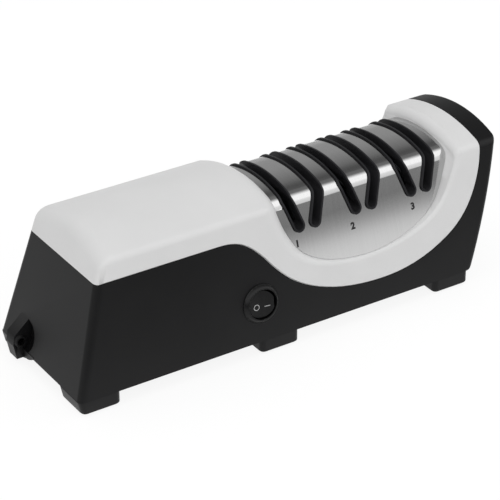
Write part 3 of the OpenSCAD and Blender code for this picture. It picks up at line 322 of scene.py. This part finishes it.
# %% Set them
# A face that turns away by more degrees than its piece's limit isn't part of the section.
for node, direction, limit in (("guide_panel", steel_direction, 4), ("top_cover", cover_direction, 8)):
    mesh = bpy.data.objects["skin_" + node].data
    corners, exact = [corner.vector.copy() for corner in mesh.corner_normals], 0
    for face in mesh.polygons:
        for corner in face.loop_indices:
            x, y, z = mesh.vertices[mesh.loops[corner].vertex_index].co / MM
            true = direction(y, z)
            if true and face.normal.dot(true) > cos(radians(limit)):
                corners[corner] = true
                exact += 1
    mesh.normals_split_custom_set(corners)
    print(node, "exact directions on", exact, "of", len(corners), "corners")

# %% [markdown]
# ## The inner works
# What is inside the housing keeps its CAD solid and only gets its finish. It could be
# modelled again in more detail, but it is seen through the slots at most.

# %% Finishes of the inner pieces
inner = {
    nylon_grey: ["bottom_plate", "motor_end_bell", "cooling_fan", "shaft_coupling"],
    abs_black: ["motor_bracket", "bearing_blocks"],
    rubber_pad: ["foot_pads"],
    steel_plated: ["bottom_screws", "cover_screws", "motor_screws", "motor_can", "motor_strap"],
    steel_turned: ["motor_shaft", "spindle", "drive_pins"],
    abrasive: [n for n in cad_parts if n.startswith("disc_") and "spring" not in n],
    brass: ["switch_terminals", "commutator"],
    bronze: ["spindle_bearings"],
    copper: ["motor_armature"],
    ferrite: ["motor_magnets", "filings_magnet", "motor_brushes"],
    laminate: ["rectifier_board"],
    film_blue: ["capacitor"],
}
for material, nodes in inner.items():
    for name in nodes:
        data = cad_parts[name].data
        data.materials.clear()
        data.materials.append(material)
print("finishes set on", sum(len(v) for v in inner.values()), "inner nodes")

# %% [markdown]
# ## The springs
# A spring pushes the two discs of a stage apart, and each disc can slide by itself. Each
# spring is cut across its middle, and each half is closed at the cut and shaded smooth.

# %% Springs in two halves
coil_smooth_within = radians(50)
for stage in (1, 2, 3):
    node = f"disc_spring_{stage}"
    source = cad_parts[node]
    along = [vertex.co.x for vertex in source.data.vertices]
    middle, reach = (max(along) + min(along)) / 2, (max(along) - min(along)) / 2
    for letter, side in (("a", -1), ("b", 1)):
        half = bpy.data.objects.new(f"spring_{stage}{letter}", source.data.copy())
        bpy.context.collection.objects.link(half)
        only(half)
        bpy.ops.object.mode_set(mode="EDIT")
        bpy.ops.mesh.select_all(action="SELECT")
        bpy.ops.mesh.remove_doubles(threshold=weld)
        bpy.ops.mesh.bisect(
            plane_co=(middle, 0, 0), plane_no=(side, 0, 0), use_fill=True, clear_inner=True)
        bpy.ops.object.mode_set(mode="OBJECT")
        bpy.ops.object.shade_smooth_by_angle(angle=coil_smooth_within)
        half.data.materials.clear()
        half.data.materials.append(steel_turned)
        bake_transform(half)
        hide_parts(node)
    print(node, "halves of", round(reach / MM, 2), "mm")

# %% [markdown]
# ## Printed marks
# The product has a ring and a dash on the rocker for off and on, and a number under each stage.
# They are pad-printed ink, a few hundredths of a millimetre thick. They could be painted in
# the material, but a mesh keeps their edges sharp. The ring starts as a disc that is inset,
# so that its middle can go, and the dash as a plane with rounded corners. Both are laid on
# the dished face of the rocker point by point, then turned with it.
# The numbers are text turned into a mesh and laid on the flare of the steel.

# %% Ink, and a way to lay a flat mark
ink_white = moulded_plastic(    # off-white ink, dulled by the black under it
    "Ink_pad_printed_white", "#ABABAB", "#B4B4B4", 0.5, 0.3, 0.002)
ink_grey = moulded_plastic(     # nearly black ink that doesn't mirror as the steel does
    "Ink_pad_printed_grey", "#202020", "#262626", 0.5, 0.3, 0.002, level=0.2)
ink_thickness, ink_rise = 0.05, 0.04   # millimetres, and the height of the ink's middle


def lay(piece, place, body, material):
    """Moves each point of a flat mark, drawn in millimetres, to place(x, y, z)."""
    for vertex in piece.data.vertices:
        vertex.co = Vector(place(*vertex.co)) * MM
    only(piece)
    bpy.ops.object.mode_set(mode="EDIT")
    bpy.ops.mesh.select_all(action="SELECT")
    bpy.ops.mesh.normals_make_consistent(inside=False)
    bpy.ops.object.mode_set(mode="OBJECT")
    piece.data.materials.clear()
    piece.data.materials.append(material)
    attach(piece, body)
    print(piece.name, len(piece.data.polygons), "faces")


def thicken(piece, thickness):
    only(piece)
    ink = piece.modifiers.new("ink", "SOLIDIFY")
    ink.thickness, ink.offset = thickness, 0
    bpy.ops.object.modifier_apply(modifier=ink.name)


# %% The face of the rocker
# The dish is given by its distance from the middle and its rise over the front wall, both in
# millimetres. The rocker rests with its left end pushed in.
tilt, pivot = radians(-7), -3.0
switch = Vector((-23.4, -wall_at(31.3), 31.3))
outward, upward = Vector((0, -cos(draft), sin(draft))), Vector((0, sin(draft), cos(draft)))
(_, dish_low), (dish_flat, dish_mid), (dish_edge, dish_high) = (0, 1.134), (4, 1.485), (7.33, 2.025)


def on_rocker(x, y, z):
    out_x = abs(x)
    rise = dish_low + (dish_mid - dish_low) * min(out_x, dish_flat) / dish_flat
    rise += max(0, out_x - dish_flat) * (dish_high - dish_mid) / (dish_edge - dish_flat)
    deep = rise + z + ink_rise - pivot
    across, out = x * cos(tilt) + deep * sin(tilt), -x * sin(tilt) + deep * cos(tilt) + pivot
    return switch + Vector((across, 0, 0)) + upward * y + outward * out


print("middle of the switch:", [round(v, 2) for v in switch], "mm")

# %% The ring
bpy.ops.object.select_all(action="DESELECT")
bpy.ops.mesh.primitive_circle_add(vertices=48, radius=1.8, fill_type="NGON", location=(-3.0, -1.3, 0))
ring = bpy.context.object
ring.name = "mark_ring"
bpy.ops.object.transform_apply(location=True)
bpy.ops.object.mode_set(mode="EDIT")
bpy.ops.mesh.select_all(action="SELECT")
bpy.ops.mesh.inset(thickness=0.38)
bpy.ops.mesh.delete(type="FACE")
bpy.ops.object.mode_set(mode="OBJECT")
thicken(ring, ink_thickness)
lay(ring, on_rocker, "rocker", ink_white)

# %% The dash
bpy.ops.object.select_all(action="DESELECT")
bpy.ops.mesh.primitive_plane_add(size=1, location=(3.5, -1.7, 0))
dash = bpy.context.object
dash.name = "mark_dash"
dash.scale = (3.4, 0.4, 1)
bpy.ops.object.transform_apply(location=True, scale=True)
bpy.ops.object.mode_set(mode="EDIT")
bpy.ops.mesh.select_all(action="SELECT")
bpy.ops.mesh.bevel(offset=0.15, segments=3, affect="VERTICES")
bpy.ops.object.mode_set(mode="OBJECT")
thicken(dash, ink_thickness)
lay(dash, on_rocker, "rocker", ink_white)

# %% The numbers of the stages on the steel
# Height of a digit, half the thickness of its ink, and how much its strokes are fattened.
digit_height, half_ink, stroke_gain = 5.4, 0.02, 0.28


def number(digit, x, z):
    angle = asin((flare_z - z) / flare_r)
    foot = Vector((x, -(flare_y - flare_r * cos(angle)), z))
    normal, up = Vector((0, -cos(angle), sin(angle))), Vector((0, sin(angle), cos(angle)))
    bpy.ops.object.select_all(action="DESELECT")
    bpy.ops.object.text_add(location=(0, 0, 0))
    text = bpy.context.object
    text.name = "mark_stage_" + digit
    text.data.body, text.data.size = digit, digit_height
    text.data.align_x, text.data.align_y = "CENTER", "CENTER"
    text.data.extrude, text.data.offset, text.data.resolution_u = half_ink, stroke_gain, 6
    bpy.ops.object.convert(target="MESH")
    mark = bpy.context.object
    place = lambda u, v, w: foot + Vector((u, 0, 0)) + up * v + normal * (w + ink_rise)
    lay(mark, place, "housing", ink_grey)


for digit, x, z in (("1", 6.8, 55.4), ("2", 44.6, 55.4), ("3", 86.7, 55.6)):
    number(digit, x, z)

# %% [markdown]
# ## The camera
# The picture was taken from the left front, well above, with a long lens, which keeps the far
# end nearly as large as the near one. The place below comes from lining up the corners of the
# housing with the picture, and the roll is a sixth of a degree.

# %% Camera
eye, target = Vector((-580.4, -895.6, 644.7)) * MM, Vector((-4.07, -2.2, 39.75)) * MM
roll = radians(-0.166)
camera = bpy.data.objects.new("camera", bpy.data.cameras.new("camera"))
bpy.context.collection.objects.link(camera)
camera.data.sensor_width, camera.data.lens = 36.0, 154.8
camera.data.clip_start, camera.data.clip_end = 0.05, 50.0
look = (target - eye).to_track_quat("-Z", "Y").to_matrix()
camera.matrix_world = Matrix.Translation(eye) @ (look @ Matrix.Rotation(roll, 3, "Z")).to_4x4()
bpy.context.scene.camera = camera
print("camera at", round((target - eye).length, 3), "m from the object")

# %% [markdown]
# ## Floor, world and lamps
# A product picture on white needs a floor that reads as white and still holds a soft shadow.
# The floor mixes an even white, for the camera, with a plain pale diffuse that takes the shadow.
# In reflections it glows white, with a painted reflection that darkens towards the front and
# at the left front, so that the rounded corner there mirrors a dark band.
# Polished metal shows nothing but its surroundings. A photographer therefore rings it with
# white and dark panels. The world does the same: diffuse light comes from an even dome,
# while a ramp over the dome, from the front horizon over the top to the back, paints the panels
# that only reflections see. The lamps light evenly and are left out of the reflections.

# %% Floor
bpy.ops.object.select_all(action="DESELECT")
bpy.ops.mesh.primitive_plane_add(size=6.0, location=(0, 0, -0.0004))
floor = bpy.context.object
floor.name = "studio_floor"
floor_finish = bpy.data.materials.new("Paper_sweep_white")
floor_finish.use_nodes = True
tree = floor_finish.node_tree
tree.nodes.clear()

# Where the floor's painted reflection darkens, in metres, and between which levels.
front_fade = {"From Min": -0.32, "From Max": -0.06, "To Min": 0.12, "To Max": 1.0}
left_edge = {"From Min": -0.2, "From Max": -0.14, "To Min": 1.0, "To Max": 0.0}
front_edge = {"From Min": -0.1, "From Max": -0.03, "To Min": 1.0, "To Max": 0.12}
camera_white, shadowless = 1.04, 0.85   # what the camera sees, and its share over the shadow

rays = add(tree, "ShaderNodeLightPath")
paper = add(tree, "ShaderNodeBsdfDiffuse", inputs={"Color": linear("#F0F0F0")})
spot = add(tree, "ShaderNodeSeparateXYZ", inputs={
    "Vector": add(tree, "ShaderNodeTexCoord").outputs["Object"]})
# Painted reflection: for glossy rays the floor glows, darker towards the front and darkest at the left
# front.
painted_front_fade = add(tree, "ShaderNodeMapRange", inputs={"Value": spot.outputs["Y"], **front_fade})
left_part = add(tree, "ShaderNodeMapRange", inputs={"Value": spot.outputs["X"], **left_edge})
front_part = add(tree, "ShaderNodeMapRange", inputs={"Value": spot.outputs["Y"], **front_edge})
dark = add(tree, "ShaderNodeMath", {"operation": "MULTIPLY"}, {
    0: left_part.outputs["Result"], 1: front_part.outputs["Result"]})
clear = add(tree, "ShaderNodeMath", {"operation": "SUBTRACT", "use_clamp": True}, {
    0: 1.0, 1: dark.outputs[0]})
mirrored_level = add(tree, "ShaderNodeMath", {"operation": "MULTIPLY"}, {
    0: painted_front_fade.outputs["Result"], 1: clear.outputs[0]})
straight = add(tree, "ShaderNodeMath", {"operation": "MAXIMUM"}, {
    0: rays.outputs["Is Camera Ray"], 1: rays.outputs["Is Transmission Ray"]})
to_camera = add(tree, "ShaderNodeMath", {"operation": "MULTIPLY"}, {
    0: straight.outputs[0], 1: camera_white})
level = add(tree, "ShaderNodeMath", {"operation": "MAXIMUM"}, {
    0: to_camera.outputs[0], 1: mirrored_level.outputs[0]})
glow = add(tree, "ShaderNodeEmission", inputs={"Color": (1, 1, 1, 1), "Strength": level.outputs[0]})
glow_share = add(tree, "ShaderNodeMath", {"operation": "MULTIPLY"}, {
    0: straight.outputs[0], 1: shadowless})
share = add(tree, "ShaderNodeMath", {"operation": "MAXIMUM"}, {
    0: glow_share.outputs[0], 1: rays.outputs["Is Glossy Ray"]})
both = add(tree, "ShaderNodeMixShader", inputs={
    "Fac": share.outputs[0], 1: paper.outputs[0], 2: glow.outputs[0]})
add(tree, "ShaderNodeOutputMaterial", inputs={"Surface": both.outputs[0]})
floor.data.materials.append(floor_finish)
print("floor of", round(floor.dimensions.x, 1), "m with", len(tree.nodes), "nodes")

# %% World
world = bpy.data.worlds.new("studio")
bpy.context.scene.world = world
world.use_nodes = True
tree = world.node_tree
tree.nodes.clear()

# The panels: each place on the dome, from the front horizon at 0 to the back one at 1, and
# its brightness.
panels = [
    (0.0, 0.26), (0.015, 0.39), (0.025, 0.58), (0.035, 0.9), (0.05, 1.05), (0.15, 1.2),
    (0.2, 1.6), (0.36, 1.6), (0.39, 1.25), (0.44, 0.62), (0.49, 0.24), (0.6, 0.2),
    (0.655, 0.1), (0.7, 0.24), (0.76, 0.33), (0.82, 0.4), (0.94, 0.41), (0.98, 0.55)]
dome_strength = 0.78

rays = add(tree, "ShaderNodeLightPath")
way = add(tree, "ShaderNodeSeparateXYZ", inputs={
    "Vector": add(tree, "ShaderNodeTexCoord").outputs["Generated"]})
front = add(tree, "ShaderNodeMath", {"operation": "MULTIPLY"}, {0: way.outputs["Y"], 1: -1.0})
arc = add(tree, "ShaderNodeMath", {"operation": "ARCTAN2"}, {0: way.outputs["Z"], 1: front.outputs[0]})
turn = add(tree, "ShaderNodeMath", {"operation": "DIVIDE"}, {0: arc.outputs[0], 1: pi})
paint = add(tree, "ShaderNodeValToRGB", inputs={"Fac": turn.outputs[0]})
elements = paint.color_ramp.elements
while len(elements) < len(panels):
    elements.new(0.5)
for element, (position, brightness) in zip(elements, panels):
    element.position = position
    element.color = (brightness, brightness, brightness, 1)
mirrored = add(tree, "ShaderNodeBackground", inputs={"Color": paint.outputs["Color"], "Strength": 1.0})
dome = add(tree, "ShaderNodeBackground", inputs={"Color": (1, 1, 1, 1), "Strength": dome_strength})
white = add(tree, "ShaderNodeBackground", inputs={"Color": (1, 1, 1, 1), "Strength": 1.0})
straight = add(tree, "ShaderNodeMath", {"operation": "MAXIMUM"}, {
    0: rays.outputs["Is Camera Ray"], 1: rays.outputs["Is Transmission Ray"]})
lit = add(tree, "ShaderNodeMixShader", inputs={
    "Fac": rays.outputs["Is Glossy Ray"], 1: dome.outputs[0], 2: mirrored.outputs[0]})
seen = add(tree, "ShaderNodeMixShader", inputs={
    "Fac": straight.outputs[0], 1: lit.outputs[0], 2: white.outputs[0]})
add(tree, "ShaderNodeOutputWorld", inputs={"Surface": seen.outputs[0]})
print("world with", len(panels), "stops in its panels")


# %% Lamps
def softbox(name, place, aim, width, depth, power):
    lamp = bpy.data.lights.new(name, "AREA")
    lamp.shape, lamp.size, lamp.size_y, lamp.energy = "RECTANGLE", width, depth, power
    obj = bpy.data.objects.new(name, lamp)
    bpy.context.collection.objects.link(obj)
    towards = (Vector(aim) - Vector(place)).to_track_quat("-Z", "Y").to_matrix().to_4x4()
    obj.matrix_world = Matrix.Translation(place) @ towards
    obj.visible_glossy = False
    print(name, width, "by", depth, "m at", power, "W")


softbox("overhead", (0.0, 0.1, 1.1), (0, 0, 0.05), 1.4, 0.9, 2.4)
softbox("front", (-0.2, -1.25, 0.9), (0, 0, 0.04), 0.7, 0.7, 3.0)

# %% [markdown]
# ## Before the end
# The picture is shown without any tone curve, so that a colour comes out about as written.

# %% View
bpy.context.scene.view_settings.view_transform = "Standard"
